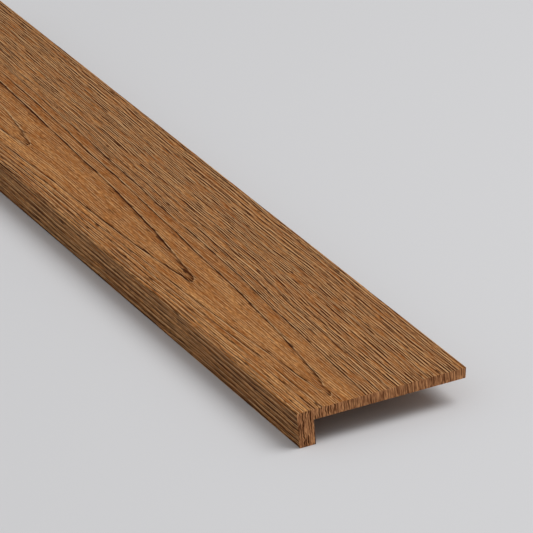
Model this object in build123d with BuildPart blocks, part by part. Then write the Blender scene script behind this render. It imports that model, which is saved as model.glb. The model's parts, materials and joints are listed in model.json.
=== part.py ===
"""Stair tread molding: one length of hardwood, milled to an L with a flat tread and a square drop nosing."""
import os
from math import radians, tan

from build123d import *

# Driving dimensions, in millimetres and degrees
length = 1828.8           # along the step
tread_depth = 266.7       # nosing face to the top of the rear edge
tread_thickness = 15.875  # top face to underside
nosing_thickness = 25.4   # front face to back face
nosing_drop = 38.1        # below the underside, the thickness of the step that it caps
rear_back_cut = 8.0       # lean of the rear edge under its top arris, which then closes tight on a riser
front_round = 2.5         # rounding of the front top edge, where the foot lands
rear_round = 1.2          # rounding of the rear edge's lower corner
nosing_ease = 0.8         # sanded corners along the foot of the nosing
end_ease = 0.4            # sanded arris around each saw-cut end

# Places in the section: Y runs from front to rear about the middle, Z up from the foot of the nosing
front_y = -tread_depth / 2
rear_y = tread_depth / 2
nosing_back_y = front_y + nosing_thickness
underside_z = nosing_drop
top_z = underside_z + tread_thickness
rear_foot_y = rear_y - tread_thickness * tan(radians(rear_back_cut))

# The section is drawn at mid-length and carried both ways, so X = 0 halves the length
with BuildPart() as stair_tread:
    with BuildSketch(Plane.YZ) as section:
        with BuildLine():
            Polyline(
                (front_y, 0),
                (nosing_back_y, 0),
                (nosing_back_y, underside_z),
                (rear_foot_y, underside_z),
                (rear_y, top_z),
                (front_y, top_z),
                close=True,
            )
        make_face()
        front_top = section.vertices().group_by(Axis.Y)[-1].sort_by(Axis.X)[0]
        fillet(front_top, radius=front_round)
        rear_foot = section.vertices().group_by(Axis.Y)[1].sort_by(Axis.X)[-1]
        fillet(rear_foot, radius=rear_round)
        nosing_foot = section.vertices().group_by(Axis.Y)[0]
        fillet(nosing_foot, radius=nosing_ease)
    extrude(amount=length / 2, both=True)
    saw_cut_ends = stair_tread.faces().filter_by(Plane.YZ)
    chamfer(saw_cut_ends.edges(), length=end_ease)

stair_tread.part.label = "stair_tread"

os.makedirs("parts", exist_ok=True)
export_step(stair_tread.part, "parts/stair_tread.step")
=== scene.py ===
"""A stair tread molding of brown-stained, brushed oak, in a plain studio."""
import json
import math

import bpy
import numpy as np
from mathutils import Euler, Matrix, Vector


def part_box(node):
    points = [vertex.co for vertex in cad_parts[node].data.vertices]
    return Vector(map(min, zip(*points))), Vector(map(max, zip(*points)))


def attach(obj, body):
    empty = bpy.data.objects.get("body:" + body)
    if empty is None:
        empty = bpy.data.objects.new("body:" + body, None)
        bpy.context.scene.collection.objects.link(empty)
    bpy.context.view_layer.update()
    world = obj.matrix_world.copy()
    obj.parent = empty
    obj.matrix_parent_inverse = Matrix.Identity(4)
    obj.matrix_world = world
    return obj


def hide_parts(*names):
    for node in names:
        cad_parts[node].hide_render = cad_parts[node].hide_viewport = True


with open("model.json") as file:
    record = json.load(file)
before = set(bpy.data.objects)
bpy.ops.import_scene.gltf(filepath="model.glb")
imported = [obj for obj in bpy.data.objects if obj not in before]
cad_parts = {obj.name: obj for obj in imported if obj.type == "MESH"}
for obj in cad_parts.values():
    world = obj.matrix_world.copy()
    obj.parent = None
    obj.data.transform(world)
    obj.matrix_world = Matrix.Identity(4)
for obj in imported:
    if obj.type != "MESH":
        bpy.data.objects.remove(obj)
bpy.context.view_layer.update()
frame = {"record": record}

MM = 0.001

# The section, from the frame
low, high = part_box("stair_tread")
mounts = {mount["name"]: mount for mount in frame["record"]["mounts"]}
front_y, rear_y, top_z = low.y, high.y, high.z
half_length = high.x
underside_z = mounts["tread_underside"]["pos_m"][2]
nosing_back_y = mounts["nosing_back"]["pos_m"][1]
rear_out, rear_down = mounts["rear_edge"]["axis"][1:]
rear_foot_y = rear_y + (top_z - underside_z) * rear_down / rear_out

# Rounded and sanded edges
FRONT_ROUND = 2.5 * MM
REAR_ROUND = 1.2 * MM
NOSING_EASE = 0.8 * MM
END_EASE = 0.4 * MM
ARC_STEPS = 4
SHARP_EDGE = math.radians(30)

# Spacing of the mesh: close across the grain where it shows, wide along the grain
ACROSS_FACE = 0.9 * MM
ACROSS_HIDDEN = 4.0 * MM
ALONG_GRAIN = 10.0 * MM

# The brushing, which takes the soft early wood out of each ring and dies out at the ends
BRUSH_DEPTH = 0.25 * MM
BRUSH_FADE = 2 * END_EASE
SAWN_DEPTH = 0.6 * END_EASE  # how far in from the end the sanded edge still shows the sawn grain

# The rest of the grain is in millimetres. First the growth rings, as the saw laid them open on the tread
HEART_LINE = 66.0     # front face to the line on which the pointed arches stand
FIRST_TIP = 36.0      # near end to the tip of the first arch
RING_RUN = 475.0      # along the board, from the tip of one arch to the next
FAR_RING_RUN = 640.0  # the same, further up the tree
TIP_POINT = 2.0       # how far an arch runs on for the first millimetre that it opens
REAR_SPREAD = 0.195   # how much further for each square millimetre that it opens to the rear
FRONT_SPREAD = 0.63   # the same to the front
SKIN = 1.5            # depth below the top that still shows the top's rings
EDGE_DEPTH = 2.0      # depth below that over which they give way to the nosing's
NOSING_PITCH = 8.5    # ring to ring down the face of the nosing
EDGE_TAPER = 0.45     # share of the drift along the board that the lines keep just below the front edge
NOSING_TAPER = 0.15   # the share that they keep further down
TAPER_DEPTH = 8.0     # depth at which they have settled to that
NOSING_WAVES = 0.8    # how far the lines on the nosing follow the wander of the grain
RING_SEED = 12551     # which rings are strong

# The wander of the grain: length, width and depth of a bend, and how far it sways
SLOW_BEND, SLOW_SWAY = (330.0, 70.0, 70.0), 12.0
QUICK_BEND, QUICK_SWAY = (85.0, 22.0, 22.0), 3.0

# Bundles of fibres carry the edge of a ring forward and back, most of all at the tip of an arch
BUNDLE_WIDTH = 4.0
BUNDLE_LENGTH = 60.0
RAGGED = 12.0                          # how far they carry it
RAGGED_ARMS = 0.12                     # the share of that which is left along the arms
TIP_NARROW, TIP_WIDE = 5.0, 18.0       # distance from the heart line over which it dies down to that
STRAND_CORE, STRAND_EDGE = 0.18, 0.45  # share of its width, from its middle, over which a bundle fades
TIP_STEEP, ARM_STEEP = 4.5, 9.0        # run for each millimetre across, over which a tip becomes an arm

# The dark line at the start of a ring
LINE_WIDTH = 2.0                # to the end of its soft side
NOSING_LINE_WIDTH = 2.9         # wider where the nosing cuts the rings aslant
LINE_CORE = 0.9                 # the part that is fully dark
LINE_EDGE = 0.8                 # its other side, against the late wood
TIP_REACH = 75.0                # what a tip adds to it, divided by the square of how steep the ring is
LINE_DASH = 75.0                # length over which it comes and goes
LINE_LEAST = 0.35               # share that is left where it goes
TOP_STRENGTH = (0.55, 1.2)      # of the weakest and the strongest ring on the top
NOSING_STRENGTH = (0.75, 0.95)  # the same on the nosing
PALE_WIDTH = 2.6                # late wood that ends in front of the line, made paler as a painted highlight
TRAIL = 36.0                    # length of the pores behind the tip of an arch
TRAIL_WIDTH = 1.5               # their width behind its arms
TRAIL_AHEAD = 2.0               # how many times sooner they end in front of the line

# Changes of the line towards the rear: distance from the front at which each starts and is full, its factor
LINE_CHANGES = ((80.0, 105.0, 1.4), (140.0, 170.0, 0.45))

# Thin lines: the close ones of the rear and the nosing, the fibres all over, the pores of the ends
THIN_WIDTH = 2.0                       # real ones of 0.3 mm are too fine to show, so they are this coarse
THIN_EDGE, THIN_BLUR = 0.5, 0.1        # how far a line fades inside and outside its width
THIN_PLACE = 0.4                       # where in its pitch it lies
SLIVER_FROM, SLIVER_FULL = 0.66, 0.84  # where in its pitch a pale sliver grows beside it, late wood lightened as a painted highlight
UNEVEN = 0.43                          # changes of the spacing for each line
LINES_APART = 7.3                      # keeps the dashes of neighbouring lines unlike
DASH_FROM, DASH_FULL = 0.36, 0.6       # noise over which a dash grows
DASH_DETAIL = 1.5

# The close lines
CLOSE_PITCH, CLOSE_DASH = 4.3, 58.0
CLOSE_FROM, CLOSE_FULL = 32.0, 52.0    # distance to the rear of the heart line over which they set in
NOSING_CLOSE = 0.5                     # their share on the nosing
BAND_FROM, BAND_FULL = 0.35, 0.55      # noise over which a broad band of them grows
BAND_MOST = 1.25                       # their share in it
REAR_BELT, REAR_CLOSE = 50.0, 0.85     # width of the belt along the rear edge, and their share at that edge

# The fibres
FIBRE_PITCH, FIBRE_DASH = 3.5, 40.0
FIBRE_SHARE, FRONT_FIBRES = 0.34, 0.66  # how dark they are over the face, and along the front
FIBRE_FROM, FIBRE_FULL = 45.0, 10.0     # distance from the front over which they grow to that
FIBRE_PALE = 0.75                       # share of the pale slivers between them, which are partly painted highlight

# Patches of colour: length, width and depth, the finest of them as coarse as they need to show
STREAK = (80.0, 2.4, 2.4)
RAY = (12.0, 1.8, 1.8)
PORE_DASH = (34.0, 1.8, 1.8)
TINT = (420.0, 16.0, 16.0)
BROAD_BAND = (450.0, 45.0, 45.0)
GROUND_SHADE, GROUND_LIGHT = 0.3, 0.7  # noise over which the ground goes from shade to light
FEW_PORES, MANY_PORES = 0.78, 0.52     # noise above which a pore opens, away from a ring's line and behind it
PORE_BLUR, PORE_EDGE = 0.01, 0.03      # how far it fades outside and inside

# The saw-cut ends
END_PITCH, END_DASH = 3.4, 22.0
END_BEND, END_SWAY = (10.0, 9.0, 9.0), 6.0
END_WILD, END_CALM = 30.0, 110.0       # distance from the front over which the lines calm down
CALM_SWAY = 0.15                       # the share of their sway that is left
END_CELL = (10.0, 2.0, 12.0)
CELL_SHADE, CELL_LIGHT = 0.35, 0.65    # noise over which a patch goes from shade to light
NOSING_PORES, TREAD_PORES = 0.95, 0.6  # how dark the pores are on the nosing and on the board
PORES_FADE = 60.0                      # distance behind the nosing over which they change

# The satin seal, which hardly shines
SEAL_ROUGHNESS = 0.6
SEAL_IOR = 1.5
SEAL_GLOSS = 0.02

# The studio, in metres and watts
FLOOR_REACH = 30.0
PAPER_ROUGHNESS = 0.9
PAPER_GLOSS = 0.1
DOME_STRENGTH = 0.42
SOFT_BOX_SIZE = 6.0
SOFT_BOX_POWER = 475.0
SOFT_BOX_AIM = Vector((0.3, 0.0, 0.0))
SOFT_BOX_SIDE = Vector((0.3, 0.6, 1.0)).normalized()
SOFT_BOX_DISTANCE = 9.0

# The camera, in metres, with its lens and sensor in millimetres
CAMERA_AIM = Vector((0.4178, 0.0454, top_z))
CAMERA_AZIMUTH = math.radians(67.835)
CAMERA_ELEVATION = math.radians(23.577)
CAMERA_ROLL = math.radians(5.613)
CAMERA_DISTANCE = 9.38
CAMERA_LENS = 426.8
CAMERA_SENSOR = 36.0


def linear(hex_colour):
    """An sRGB hex colour as linear red, green, blue and alpha."""
    shares = [int(hex_colour[i:i + 2], 16) / 255 for i in (1, 3, 5)]
    return (*(s / 12.92 if s <= 0.04045 else ((s + 0.055) / 1.055) ** 2.4 for s in shares), 1.0)


# Colours of the stained oak and of the studio
TAN_LIGHT = linear("#DDA163")
TAN_SHADE = linear("#A0602D")
RED_BROWN = linear("#86481D")
# Pale late wood, lightened further as a painted highlight beside each dark line
LATE_WOOD_AND_HIGHLIGHT = linear("#E2BA8A")
RING_LINE = linear("#381300")
PORE = linear("#341402")
RAY_FLECK = linear("#6C3D1A")
EARLY_WOOD = linear("#6A3C1A")
END_LIGHT = linear("#CA9062")
END_SHADE = linear("#7C4E32")
PALE_PAPER = linear("#DEDEE0")
WHITE_LIGHT = linear("#FFFFFF")

# Layers of colour on the ground: from and to which reading each grows, the most that it covers, its colour
TINT_LAYER = (0.35, 0.75, 0.5, RED_BROWN)
REAR_LAYER = (10.0, 40.0, 0.27, RED_BROWN)
RAY_LAYER = (0.35, 0.65, 0.55, RAY_FLECK)
TRAIL_LAYER = (0.0, 1.0, 0.4, EARLY_WOOD)
PALE_AND_HIGHLIGHT_LAYER = (0.0, 1.0, 0.68, LATE_WOOD_AND_HIGHLIGHT)
PORE_LAYER = (0.0, 1.0, 0.85, PORE)
LINE_LAYER = (0.0, 1.0, 1.0, RING_LINE)


def add(tree, kind, inputs, give=0, **settings):
    """Adds a node with its settings, its inputs linked or set, and gives back one of its outputs.

    Inputs go by name or place. A Map Range takes the reading, the two ends of its range and what they become.
    A Mix takes the share at place 0 and, for colours, the two of them at places 6 and 7.
    """
    node = tree.nodes.new(kind)
    for name, value in settings.items():
        setattr(node, name, value)
    for key, value in inputs.items():
        if isinstance(value, bpy.types.NodeSocket):
            tree.links.new(value, node.inputs[key])
        else:
            node.inputs[key].default_value = value
    return node.outputs[give] if node.outputs else None


def patches(tree, place, size, detail=1.0):
    """Uneven shares about a half, in patches of this length, width and depth in millimetres."""
    per_metre = [1 / (side * MM) for side in size]
    scaled = add(tree, "ShaderNodeVectorMath", {0: place, 1: per_metre}, operation="MULTIPLY")
    return add(tree, "ShaderNodeTexNoise", {"Vector": scaled, "Scale": 1.0, "Detail": detail})


def dashes(tree, place, number, length):
    """Dashes of about this length along the grain, from 0 to 1, other ones for each line by its number."""
    x = add(tree, "ShaderNodeSeparateXYZ", {0: place}, give="X")
    along = add(tree, "ShaderNodeMath", {0: x, 1: length * MM}, operation="DIVIDE")
    apart = add(tree, "ShaderNodeMath", {0: number, 1: LINES_APART}, operation="MULTIPLY")
    line = add(tree, "ShaderNodeCombineXYZ", {"X": along, "Y": apart})
    noise = add(
        tree,
        "ShaderNodeTexNoise",
        {"Vector": line, "Scale": 1.0, "Detail": DASH_DETAIL},
        noise_dimensions="2D",
    )
    return add(tree, "ShaderNodeMapRange", {0: noise, 1: DASH_FROM, 2: DASH_FULL})


def growth_rings(tree, place):
    """The rings of the log as the saw laid them open, as six values at each place in the wood.

    run: how far up the board the ring here has its tip
    steep: how much the run changes for each millimetre across the grain
    out: how far to the rear of the heart line the ring here lies at the near end
    around: how far to the rear of the heart line a fibre lies, carried on down the nosing
    nosing: 0 on the top and 1 on the nosing
    strands: 1 along the arms of the arches, and at their tips 1 in the strands and 0 between them
    """
    # The noise is about a half, so half of each sway is taken off
    wander = -(SLOW_SWAY + QUICK_SWAY) / 2
    for bend, sway in ((SLOW_BEND, SLOW_SWAY), (QUICK_BEND, QUICK_SWAY)):
        noise = patches(tree, place, bend)
        wander = add(tree, "ShaderNodeMath", {0: noise, 1: sway, 2: wander}, operation="MULTIPLY_ADD")

    mm = add(tree, "ShaderNodeVectorMath", {0: place, "Scale": 1 / MM}, operation="SCALE")
    x, y, z = (add(tree, "ShaderNodeSeparateXYZ", {0: mm}, give=axis) for axis in "XYZ")
    from_end = add(tree, "ShaderNodeMath", {0: half_length / MM, 1: x}, operation="SUBTRACT")
    off = add(tree, "ShaderNodeMath", {0: y, 1: front_y / MM + HEART_LINE}, operation="SUBTRACT")
    off = add(tree, "ShaderNodeMath", {0: off, 1: wander}, operation="ADD")
    below = add(tree, "ShaderNodeMath", {0: top_z / MM - SKIN, 1: z}, operation="SUBTRACT")
    below = add(tree, "ShaderNodeMath", {0: below, 1: 0.0}, operation="MAXIMUM")
    nosing = add(tree, "ShaderNodeMapRange", {0: below, 1: 0.0, 2: EDGE_DEPTH})

    # An arch opens ever more slowly, and to the front more slowly still
    to_rear = add(tree, "ShaderNodeMath", {0: off, 1: 0.0}, operation="GREATER_THAN")
    spread = add(tree, "ShaderNodeMapRange", {0: to_rear, 3: FRONT_SPREAD, 4: REAR_SPREAD})
    aside = add(tree, "ShaderNodeMath", {0: off}, operation="ABSOLUTE")
    slope = add(tree, "ShaderNodeMath", {0: aside, 1: spread, 2: TIP_POINT}, operation="MULTIPLY_ADD")
    opened = add(tree, "ShaderNodeMath", {0: aside, 1: slope}, operation="MULTIPLY")
    taper = add(tree, "ShaderNodeMapRange", {0: nosing, 3: 1.0, 4: EDGE_TAPER})
    taper = add(tree, "ShaderNodeMapRange", {0: below, 1: 0.0, 2: TAPER_DEPTH, 3: taper, 4: NOSING_TAPER})
    tapered = add(tree, "ShaderNodeMath", {0: from_end, 1: taper}, operation="MULTIPLY")
    run = add(tree, "ShaderNodeMath", {0: tapered, 1: opened}, operation="SUBTRACT")
    out = add(tree, "ShaderNodeMath", {0: run, 1: -1 / REAR_SPREAD}, operation="MULTIPLY")
    out = add(tree, "ShaderNodeMath", {0: out, 1: 0.0}, operation="MAXIMUM")
    out = add(tree, "ShaderNodeMath", {0: out}, operation="SQRT")
    out = add(tree, "ShaderNodeMath", {0: out, 1: below}, operation="ADD")

    # Down the nosing the rings follow at an even pitch
    waves = add(tree, "ShaderNodeMath", {0: wander, 1: nosing}, operation="MULTIPLY")
    depth = add(tree, "ShaderNodeMath", {0: waves, 1: NOSING_WAVES, 2: below}, operation="MULTIPLY_ADD")
    pitch = RING_RUN / NOSING_PITCH
    run = add(tree, "ShaderNodeMath", {0: depth, 1: -pitch, 2: run}, operation="MULTIPLY_ADD")
    steep = add(tree, "ShaderNodeMath", {0: slope, 1: 2.0, 2: -TIP_POINT}, operation="MULTIPLY_ADD")
    down = add(tree, "ShaderNodeMapRange", {0: nosing, 3: 1.0, 4: pitch})
    steep = add(tree, "ShaderNodeMath", {0: steep, 1: down}, operation="MAXIMUM")

    # Bundles of fibres feather the tips of the arches
    around = add(tree, "ShaderNodeMath", {0: off, 1: below}, operation="SUBTRACT")
    bundle = add(tree, "ShaderNodeMath", {0: around, 1: BUNDLE_WIDTH}, operation="DIVIDE")
    number = add(tree, "ShaderNodeMath", {0: bundle}, operation="ROUND")
    ragged = dashes(tree, place, number, BUNDLE_LENGTH)
    ragged = add(tree, "ShaderNodeMapRange", {0: ragged, 3: -RAGGED, 4: RAGGED})
    at_tip = add(tree, "ShaderNodeMapRange", {0: aside, 1: TIP_NARROW, 2: TIP_WIDE, 3: 1.0, 4: RAGGED_ARMS})
    run = add(tree, "ShaderNodeMath", {0: ragged, 1: at_tip, 2: run}, operation="MULTIPLY_ADD")
    share = add(tree, "ShaderNodeMath", {0: bundle, 1: number}, operation="SUBTRACT")
    share = add(tree, "ShaderNodeMath", {0: share}, operation="ABSOLUTE")
    strand = add(tree, "ShaderNodeMapRange", {0: share, 1: STRAND_EDGE, 2: STRAND_CORE})
    arm = add(tree, "ShaderNodeMapRange", {0: steep, 1: TIP_STEEP, 2: ARM_STEEP})
    strands = add(tree, "ShaderNodeMath", {0: strand, 1: arm}, operation="MAXIMUM")
    return run, steep, out, around, nosing, strands


def strong_lines(tree, place, run, steep, nosing, strands):
    """The dark line at the start of each ring, the pores that trail it and the pale wood in front of it,
    partly painted highlight.
    """
    # Rings are counted from the first tip, and the far ones are longer
    second_tip = FIRST_TIP + RING_RUN
    near = add(tree, "ShaderNodeMapRange", {0: run, 1: FIRST_TIP, 2: second_tip}, clamp=False)
    far = add(
        tree,
        "ShaderNodeMapRange",
        {0: run, 1: second_tip, 2: second_tip + FAR_RING_RUN, 3: 1.0, 4: 2.0},
        clamp=False,
    )
    ring = add(tree, "ShaderNodeMath", {0: near, 1: far}, operation="MINIMUM")
    number = add(tree, "ShaderNodeMath", {0: ring}, operation="FLOOR")
    share = add(tree, "ShaderNodeMath", {0: ring}, operation="FRACT")
    ring_width = add(tree, "ShaderNodeMath", {0: RING_RUN, 1: steep}, operation="DIVIDE")
    after = add(tree, "ShaderNodeMath", {0: share, 1: ring_width}, operation="MULTIPLY")
    before = add(tree, "ShaderNodeMath", {0: ring_width, 1: after}, operation="SUBTRACT")

    # Some rings are strong and some faint, and each comes and goes along the board
    seeded = add(tree, "ShaderNodeMath", {0: number, 1: RING_SEED}, operation="ADD")
    strength = add(tree, "ShaderNodeTexWhiteNoise", {"W": seeded}, noise_dimensions="1D")
    weakest, strongest = (
        add(tree, "ShaderNodeMapRange", {0: nosing, 3: on_top, 4: on_nosing})
        for on_top, on_nosing in zip(TOP_STRENGTH, NOSING_STRENGTH)
    )
    strength = add(tree, "ShaderNodeMapRange", {0: strength, 3: weakest, 4: strongest})
    come_and_go = dashes(tree, place, number, LINE_DASH)
    come_and_go = add(tree, "ShaderNodeMapRange", {0: come_and_go, 3: LINE_LEAST, 4: 1.0})
    strength = add(tree, "ShaderNodeMath", {0: strength, 1: come_and_go}, operation="MULTIPLY")
    y = add(tree, "ShaderNodeSeparateXYZ", {0: place}, give="Y")
    for start, full, factor in LINE_CHANGES:
        change = add(
            tree,
            "ShaderNodeMapRange",
            {0: y, 1: front_y + start * MM, 2: front_y + full * MM, 3: 1.0, 4: factor},
        )
        strength = add(tree, "ShaderNodeMath", {0: strength, 1: change}, operation="MULTIPLY")
    at_tip = add(tree, "ShaderNodeMapRange", {0: steep, 1: ARM_STEEP, 2: TIP_STEEP})
    firm = add(tree, "ShaderNodeMath", {0: strength, 1: at_tip}, operation="MAXIMUM")
    firm = add(tree, "ShaderNodeMath", {0: strands, 1: firm}, operation="MULTIPLY")

    # The line is longer where it runs over the tip of an arch
    width = add(tree, "ShaderNodeMapRange", {0: nosing, 3: LINE_WIDTH, 4: NOSING_LINE_WIDTH})
    reach = add(tree, "ShaderNodeMath", {0: steep, 1: -2.0}, operation="POWER")
    reach = add(tree, "ShaderNodeMath", {0: reach, 1: TIP_REACH}, operation="MULTIPLY")
    reach = add(tree, "ShaderNodeMath", {0: reach, 1: width}, operation="ADD")
    soft = {"interpolation_type": "SMOOTHSTEP"}
    line = add(tree, "ShaderNodeMapRange", {0: after, 1: reach, 2: LINE_CORE}, **soft)
    edge = add(tree, "ShaderNodeMapRange", {0: before, 1: LINE_EDGE, 2: 0.0}, **soft)
    line = add(tree, "ShaderNodeMath", {0: line, 1: edge}, operation="MAXIMUM")
    line = add(tree, "ShaderNodeMath", {0: line, 1: firm}, operation="MULTIPLY")
    # The pale band in front of the line is partly late wood and partly painted highlight
    pale = add(tree, "ShaderNodeMapRange", {0: before, 1: PALE_WIDTH, 2: LINE_EDGE}, **soft)
    pale = add(tree, "ShaderNodeMath", {0: pale, 1: firm}, operation="MULTIPLY")

    # Open pores thin out behind the line, and a few run ahead of it
    fade = add(tree, "ShaderNodeMath", {0: TRAIL, 1: steep}, operation="DIVIDE")
    fade = add(tree, "ShaderNodeMath", {0: fade, 1: TRAIL_WIDTH}, operation="ADD")
    ahead = add(tree, "ShaderNodeMath", {0: before, 1: TRAIL_AHEAD}, operation="MULTIPLY")
    nearest = add(tree, "ShaderNodeMath", {0: after, 1: ahead}, operation="MINIMUM")
    trail = add(tree, "ShaderNodeMath", {0: nearest, 1: fade}, operation="DIVIDE")
    trail = add(tree, "ShaderNodeMath", {0: 1 / math.e, 1: trail}, operation="POWER")
    trail = add(tree, "ShaderNodeMath", {0: trail, 1: strength}, operation="MULTIPLY")
    return line, trail, pale


def thin_lines(tree, place, across, pitch, length):
    """Thin broken lines side by side, from 0 to 1, and the pale slivers between them, partly painted
    highlight.
    """
    uneven = add(
        tree,
        "ShaderNodeTexNoise",
        {"W": across, "Scale": UNEVEN / pitch, "Detail": 1.0},
        noise_dimensions="1D",
    )
    count = add(tree, "ShaderNodeMath", {0: across, 1: pitch}, operation="DIVIDE")
    count = add(tree, "ShaderNodeMath", {0: count, 1: uneven}, operation="ADD")
    number = add(tree, "ShaderNodeMath", {0: count}, operation="FLOOR")
    share = add(tree, "ShaderNodeMath", {0: count}, operation="FRACT")
    strength = dashes(tree, place, number, length)
    begin, end = -THIN_PLACE * pitch, (1 - THIN_PLACE) * pitch
    aside = add(tree, "ShaderNodeMapRange", {0: share, 3: begin, 4: end})
    aside = add(tree, "ShaderNodeMath", {0: aside}, operation="ABSOLUTE")
    inside = add(tree, "ShaderNodeMath", {0: strength, 1: THIN_WIDTH / 2}, operation="MULTIPLY")
    inside = add(tree, "ShaderNodeMath", {0: inside, 1: aside}, operation="SUBTRACT")
    soft = {"interpolation_type": "SMOOTHSTEP"}
    line = add(tree, "ShaderNodeMapRange", {0: inside, 1: -THIN_BLUR, 2: THIN_EDGE}, **soft)
    # The pale sliver beside each line is late wood lightened as a painted highlight
    pale = add(tree, "ShaderNodeMapRange", {0: share, 1: SLIVER_FROM, 2: SLIVER_FULL}, **soft)
    pale = add(tree, "ShaderNodeMath", {0: pale, 1: strength}, operation="MULTIPLY")
    return line, pale


def early_wood(tree, place):
    """Where the soft, open-pored wood lies, from 0 to 1.

    With it come the pores that trail it, the pale wood and painted highlight beside it, and how far around
    the fibre here lies.
    """
    run, steep, out, around, nosing, strands = growth_rings(tree, place)
    line, trail, pale = strong_lines(tree, place, run, steep, nosing, strands)
    y = add(tree, "ShaderNodeSeparateXYZ", {0: place}, give="Y")

    # Close lines keep clear of the arches, darken in broad bands and are fainter on the nosing
    behind = add(tree, "ShaderNodeMath", {0: around, 1: 0.0}, operation="GREATER_THAN")
    nosing_share = add(tree, "ShaderNodeMath", {0: nosing, 1: NOSING_CLOSE}, operation="MULTIPLY")
    close_share = add(tree, "ShaderNodeMath", {0: behind, 1: nosing_share}, operation="MAXIMUM")
    for reading, start, full, least, most in (
        (out, CLOSE_FROM, CLOSE_FULL, 0.0, 1.0),
        (patches(tree, place, BROAD_BAND, detail=0.0), BAND_FROM, BAND_FULL, 1.0, BAND_MOST),
        (y, rear_y, rear_y - REAR_BELT * MM, REAR_CLOSE, 1.0),
    ):
        part = add(tree, "ShaderNodeMapRange", {0: reading, 1: start, 2: full, 3: least, 4: most})
        close_share = add(tree, "ShaderNodeMath", {0: close_share, 1: part}, operation="MULTIPLY")

    # Fibres show most along the front edge and on the nosing
    fibre_from, fibre_full = front_y + FIBRE_FROM * MM, front_y + FIBRE_FULL * MM
    fibre_share = add(
        tree,
        "ShaderNodeMapRange",
        {0: y, 1: fibre_from, 2: fibre_full, 3: FIBRE_SHARE, 4: FRONT_FIBRES},
    )
    for across, pitch, length, share, pale_share in (
        (out, CLOSE_PITCH, CLOSE_DASH, close_share, close_share),
        (around, FIBRE_PITCH, FIBRE_DASH, fibre_share, FIBRE_PALE),
    ):
        thin, thin_pale = thin_lines(tree, place, across, pitch, length)
        thin = add(tree, "ShaderNodeMath", {0: thin, 1: share}, operation="MULTIPLY")
        thin_pale = add(tree, "ShaderNodeMath", {0: thin_pale, 1: pale_share}, operation="MULTIPLY")
        line = add(tree, "ShaderNodeMath", {0: line, 1: thin}, operation="MAXIMUM")
        pale = add(tree, "ShaderNodeMath", {0: pale, 1: thin_pale}, operation="MAXIMUM")
    return line, trail, pale, around


def long_grain(tree, place):
    """Colour and height of the faces that the grain runs along."""
    line, trail, pale, around = early_wood(tree, place)
    streak = patches(tree, place, STREAK)
    ray = patches(tree, place, RAY, detail=0.0)
    tint = patches(tree, place, TINT, detail=2.0)
    dash = patches(tree, place, PORE_DASH, detail=0.0)

    # Pores lie scattered over the face and crowd behind the line of each ring
    threshold = add(tree, "ShaderNodeMapRange", {0: trail, 3: FEW_PORES, 4: MANY_PORES})
    above = add(tree, "ShaderNodeMath", {0: dash, 1: threshold}, operation="SUBTRACT")
    pores = add(tree, "ShaderNodeMapRange", {0: above, 1: -PORE_BLUR, 2: PORE_EDGE})

    # Each layer covers the ones before it
    ground = add(tree, "ShaderNodeMapRange", {0: streak, 1: GROUND_SHADE, 2: GROUND_LIGHT})
    tone = add(tree, "ShaderNodeMix", {0: ground, 6: TAN_SHADE, 7: TAN_LIGHT}, give=2, data_type="RGBA")
    for reading, (start, full, most, colour) in (
        (tint, TINT_LAYER),
        (around, REAR_LAYER),
        (ray, RAY_LAYER),
        (trail, TRAIL_LAYER),
        # pale late wood, partly painted highlight beside the lines
        (pale, PALE_AND_HIGHLIGHT_LAYER),
        (pores, PORE_LAYER),
        (line, LINE_LAYER),
    ):
        cover = add(tree, "ShaderNodeMapRange", {0: reading, 1: start, 2: full, 4: most})
        tone = add(tree, "ShaderNodeMix", {0: cover, 6: tone, 7: colour}, give=2, data_type="RGBA")
    sunk = add(tree, "ShaderNodeMath", {0: pores, 1: line}, operation="MAXIMUM")
    height = add(tree, "ShaderNodeMath", {0: streak, 1: sunk}, operation="SUBTRACT")
    return tone, height


def end_grain(tree, place):
    """Colour and height of the saw-cut ends, where pores stand in upright lines that waver at the nosing."""
    y = add(tree, "ShaderNodeSeparateXYZ", {0: place}, give="Y")
    waver = patches(tree, place, END_BEND)
    wild, calm = front_y + END_WILD * MM, front_y + END_CALM * MM
    sway = add(
        tree,
        "ShaderNodeMapRange",
        {0: y, 1: wild, 2: calm, 3: END_SWAY * MM, 4: CALM_SWAY * END_SWAY * MM},
    )
    waver = add(tree, "ShaderNodeMath", {0: waver, 1: sway}, operation="MULTIPLY")
    shift = add(tree, "ShaderNodeCombineXYZ", {"Y": waver})
    bent = add(tree, "ShaderNodeVectorMath", {0: place, 1: shift}, operation="ADD")
    across, up = (add(tree, "ShaderNodeSeparateXYZ", {0: bent}, give=axis) for axis in "YZ")
    across = add(tree, "ShaderNodeMath", {0: across, 1: MM}, operation="DIVIDE")
    upright = add(tree, "ShaderNodeCombineXYZ", {"X": up})
    line, _ = thin_lines(tree, upright, across, END_PITCH, END_DASH)
    cell = patches(tree, bent, END_CELL, detail=2.0)
    light = add(tree, "ShaderNodeMapRange", {0: cell, 1: CELL_SHADE, 2: CELL_LIGHT})
    tone = add(tree, "ShaderNodeMix", {0: light, 6: END_SHADE, 7: END_LIGHT}, give=2, data_type="RGBA")
    board_y = nosing_back_y + PORES_FADE * MM
    line_share = add(
        tree,
        "ShaderNodeMapRange",
        {0: y, 1: nosing_back_y, 2: board_y, 3: NOSING_PORES, 4: TREAD_PORES},
    )
    dark = add(tree, "ShaderNodeMath", {0: line, 1: line_share}, operation="MULTIPLY")
    tone = add(tree, "ShaderNodeMix", {0: dark, 6: tone, 7: PORE}, give=2, data_type="RGBA")
    height = add(tree, "ShaderNodeMath", {0: cell, 1: dark}, operation="SUBTRACT")
    return tone, height


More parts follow.
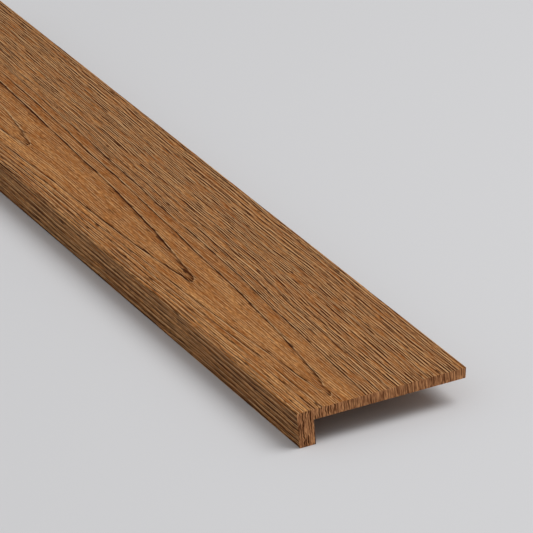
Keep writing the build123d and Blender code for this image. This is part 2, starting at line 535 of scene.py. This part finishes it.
def stained_oak():
    """Flat-sawn oak, wire brushed, stained brown and sealed satin.

    The eye gets dark pores and ring lines with pale slivers, partly painted highlight, beside them in a tan,
    streaked ground, and almost no shine.
    """
    material = bpy.data.materials.new("stained_oak")
    material.use_nodes = True
    tree = material.node_tree
    tree.nodes.clear()
    place = add(tree, "ShaderNodeTexCoord", {}, give="Object")
    x = add(tree, "ShaderNodeSeparateXYZ", {0: place}, give="X")
    from_middle = add(tree, "ShaderNodeMath", {0: x}, operation="ABSOLUTE")
    sawn_from = half_length - SAWN_DEPTH
    sawn = add(tree, "ShaderNodeMath", {0: from_middle, 1: sawn_from}, operation="GREATER_THAN")
    along_tone, along_height = long_grain(tree, place)
    end_tone, end_height = end_grain(tree, place)
    tone = add(tree, "ShaderNodeMix", {0: sawn, 6: along_tone, 7: end_tone}, give=2, data_type="RGBA")
    height = add(tree, "ShaderNodeMix", {0: sawn, 2: along_height, 3: end_height})
    bump = add(tree, "ShaderNodeBump", {"Height": height, "Distance": BRUSH_DEPTH, "Strength": 1.0})
    surface = add(
        tree,
        "ShaderNodeBsdfPrincipled",
        {
            "Base Color": tone,
            "Roughness": SEAL_ROUGHNESS,
            "IOR": SEAL_IOR,
            "Specular IOR Level": SEAL_GLOSS,
            "Normal": bump,
        },
    )
    add(tree, "ShaderNodeOutputMaterial", {"Surface": surface})
    return material


def milled_section():
    """Points around the section, anticlockwise seen from the +X end."""
    corners = [  # place, rounding, spacing of the points on the side that follows
        ((front_y, 0.0), NOSING_EASE, ACROSS_HIDDEN),
        ((nosing_back_y, 0.0), NOSING_EASE, ACROSS_HIDDEN),
        ((nosing_back_y, underside_z), 0.0, ACROSS_HIDDEN),
        ((rear_foot_y, underside_z), REAR_ROUND, ACROSS_FACE),
        ((rear_y, top_z), 0.0, ACROSS_FACE),
        ((front_y, top_z), FRONT_ROUND, ACROSS_FACE),
    ]
    places = np.array([corner[0] for corner in corners])
    sides = np.roll(places, -1, axis=0) - places
    headings = np.unwrap(np.arctan2(sides[:, 1], sides[:, 0]))
    arcs = []
    for i, (place, rounding, _) in enumerate(corners):
        turn = (headings[i] - headings[i - 1] + math.pi) % (2 * math.pi) - math.pi
        start = headings[i] - turn
        set_back = rounding * math.tan(turn / 2)
        centre = np.array(place) + set_back * np.array((-math.cos(start), -math.sin(start)))
        centre += rounding * np.array((-math.sin(start), math.cos(start)))
        steps = np.linspace(start, headings[i], ARC_STEPS + 1) if rounding else [start + turn / 2]
        arcs.append([centre + rounding * np.array((math.sin(a), -math.cos(a))) for a in steps])
    points = []
    for i, (_, _, spacing) in enumerate(corners):
        begin, end = arcs[i][-1], arcs[(i + 1) % len(corners)][0]
        count = math.ceil(np.linalg.norm(end - begin) / spacing)
        points += arcs[i] + [begin + (end - begin) * k / count for k in range(1, count)]
    return np.array(points)


def inset(loop, amount):
    """The loop moved inwards by an even amount, mitred at its corners."""
    ahead = np.roll(loop, -1, axis=0) - loop
    ahead /= np.linalg.norm(ahead, axis=1)[:, None]
    outward = np.stack([ahead[:, 1], -ahead[:, 0]], axis=1)
    both = outward + np.roll(outward, 1, axis=0)
    return loop - amount * 2 * both / (both * both).sum(axis=1)[:, None]


def milled_blank():
    """The tread as it leaves the moulder, sanded but not yet brushed: the section carried from end to end."""
    section = milled_section()
    inner_end = half_length - END_EASE
    count = round(2 * inner_end / ALONG_GRAIN)
    stations = [-half_length, *np.linspace(-inner_end, inner_end, count + 1), half_length]
    end_section = inset(section, END_EASE)
    loops = [end_section, *[section] * (count + 1), end_section]
    vertices = np.concatenate([np.insert(loop, 0, x, axis=1) for x, loop in zip(stations, loops)])
    size = len(section)
    first = np.arange(size)
    following = np.roll(first, -1)
    band = np.stack([first, following, following + size, first + size], axis=1)
    faces = np.concatenate([band + size * k for k in range(len(stations) - 1)]).tolist()
    faces.append(list(range(size))[::-1])
    faces.append(list(range(size * (len(stations) - 1), size * len(stations))))
    mesh = bpy.data.meshes.new("stair_tread_oak")
    mesh.from_pydata(vertices.tolist(), [], faces)
    return mesh


def brushed_grain(material):
    """A node tree that sinks the early wood of every ring below the face, as a wire brush does."""
    tree = bpy.data.node_groups.new("brushed_grain", "GeometryNodeTree")
    tree.interface.new_socket("Geometry", in_out="INPUT", socket_type="NodeSocketGeometry")
    tree.interface.new_socket("Brush Depth", in_out="INPUT", socket_type="NodeSocketFloat")
    tree.interface.new_socket("Geometry", in_out="OUTPUT", socket_type="NodeSocketGeometry")
    given = tree.nodes.new("NodeGroupInput")
    place = add(tree, "GeometryNodeInputPosition", {})
    early, *_ = early_wood(tree, place)
    x = add(tree, "ShaderNodeSeparateXYZ", {0: place}, give="X")
    from_middle = add(tree, "ShaderNodeMath", {0: x}, operation="ABSOLUTE")
    inner_end = half_length - BRUSH_FADE
    inside = add(tree, "ShaderNodeMapRange", {0: from_middle, 1: half_length, 2: inner_end})
    sunk = add(tree, "ShaderNodeMath", {0: early, 1: inside}, operation="MULTIPLY")
    sunk = add(tree, "ShaderNodeMath", {0: sunk, 1: given.outputs["Brush Depth"]}, operation="MULTIPLY")
    outward = add(tree, "GeometryNodeInputNormal", {})
    inward = add(tree, "ShaderNodeVectorMath", {0: outward, "Scale": -1.0}, operation="SCALE")
    offset = add(tree, "ShaderNodeVectorMath", {0: inward, "Scale": sunk}, operation="SCALE")
    brushed = add(tree, "GeometryNodeSetPosition", {"Geometry": given.outputs["Geometry"], "Offset": offset})
    realized = add(tree, "GeometryNodeRealizeInstances", {"Geometry": brushed})
    finished = add(tree, "GeometryNodeSetMaterial", {"Geometry": realized, "Material": material})
    add(tree, "NodeGroupOutput", {"Geometry": finished})
    return tree


def stair_tread():
    """The finished tread: milled, brushed, stained and sealed."""
    material = stained_oak()
    blank = bpy.data.objects.new("stair_tread_oak", milled_blank())
    bpy.context.scene.collection.objects.link(blank)
    brushing = blank.modifiers.new("brushed_grain", "NODES")
    brushing.node_group = brushed_grain(material)
    depth = brushing.node_group.interface.items_tree["Brush Depth"]
    brushing[depth.identifier] = BRUSH_DEPTH
    bpy.context.view_layer.update()
    evaluated = blank.evaluated_get(bpy.context.evaluated_depsgraph_get())
    mesh = bpy.data.meshes.new_from_object(evaluated)
    blank.modifiers.remove(brushing)
    blank.data = mesh
    mesh.name = "stair_tread_oak"
    mesh.polygons.foreach_set("use_smooth", np.ones(len(mesh.polygons), dtype=bool))
    mesh.set_sharp_from_angle(angle=SHARP_EDGE)
    return blank


def studio():
    """A plain pale floor, an even dome of light and one large soft light from behind the tread."""
    floor_finish = bpy.data.materials.new("matt_grey_paper")
    floor_finish.use_nodes = True
    paper = floor_finish.node_tree.nodes["Principled BSDF"]
    paper.inputs["Base Color"].default_value = PALE_PAPER
    paper.inputs["Roughness"].default_value = PAPER_ROUGHNESS
    paper.inputs["Specular IOR Level"].default_value = PAPER_GLOSS
    corners = [(x * FLOOR_REACH, y * FLOOR_REACH, 0) for x, y in ((-1, -1), (1, -1), (1, 1), (-1, 1))]
    sheet = bpy.data.meshes.new("studio_floor")
    sheet.from_pydata(corners, [], [range(len(corners))])
    sheet.materials.append(floor_finish)
    floor = bpy.data.objects.new("studio_floor", sheet)
    bpy.context.scene.collection.objects.link(floor)

    world = bpy.data.worlds.new("studio_dome")
    world.use_nodes = True
    world.node_tree.nodes["Background"].inputs["Color"].default_value = WHITE_LIGHT
    world.node_tree.nodes["Background"].inputs["Strength"].default_value = DOME_STRENGTH
    bpy.context.scene.world = world

    soft_box = bpy.data.lights.new("soft_box", "AREA")
    soft_box.shape = "SQUARE"
    soft_box.size = SOFT_BOX_SIZE
    soft_box.energy = SOFT_BOX_POWER
    light = bpy.data.objects.new("soft_box", soft_box)
    place = Matrix.Translation(SOFT_BOX_AIM + SOFT_BOX_DISTANCE * SOFT_BOX_SIDE)
    light.matrix_world = place @ SOFT_BOX_SIDE.to_track_quat("Z", "Y").to_matrix().to_4x4()
    bpy.context.scene.collection.objects.link(light)
    bpy.context.scene.view_settings.view_transform = "Standard"


def viewpoint():
    """The camera, a long lens from in front of the near end, turned a little about its own axis."""
    camera = bpy.data.objects.new("camera", bpy.data.cameras.new("camera"))
    camera.data.sensor_width = CAMERA_SENSOR
    camera.data.lens = CAMERA_LENS
    look = Euler((math.pi / 2 - CAMERA_ELEVATION, 0, CAMERA_AZIMUTH)).to_matrix()
    look = look @ Matrix.Rotation(-CAMERA_ROLL, 3, "Z")
    place = CAMERA_AIM + look @ Vector((0, 0, CAMERA_DISTANCE))
    camera.matrix_world = Matrix.Translation(place) @ look.to_4x4()
    bpy.context.scene.collection.objects.link(camera)
    bpy.context.scene.camera = camera


tread = stair_tread()
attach(tread, "root")
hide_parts("stair_tread")
studio()
viewpoint()
